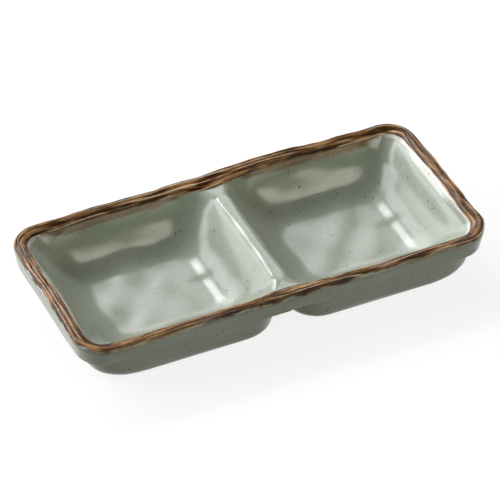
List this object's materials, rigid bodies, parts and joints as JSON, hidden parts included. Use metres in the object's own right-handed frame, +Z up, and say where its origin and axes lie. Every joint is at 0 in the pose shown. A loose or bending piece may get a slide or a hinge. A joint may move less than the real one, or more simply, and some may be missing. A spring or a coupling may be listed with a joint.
{
  "type": "divided sauce dish",
  "caption": "Rectangular divided sauce dish: side-by-side wells with a rounded divider under one overhanging rim, speckled sage glaze and a ridged brushed-brown rim band.",
  "frame": {"origin": "on the table, under the centre of the dish, at the level of the foot rings' resting faces", "axes": "+X along the length from the left well to the right well, +Y across the width towards the back, +Z up"},
  "size_m": [0.165, 0.0776, 0.022],
  "materials": {
    "sage_glaze": "gloss",
    "brown_rim": "gloss, brushed",
    "bare_clay": "matte"
  },
  "bodies": {
    "root": {"left_well": "sage_glaze", "right_well": "sage_glaze", "rim_frame": "sage_glaze", "divider": "sage_glaze", "rim_band": "brown_rim", "left_foot_ring": "bare_clay", "right_foot_ring": "bare_clay"}
  },
  "joints": []
}
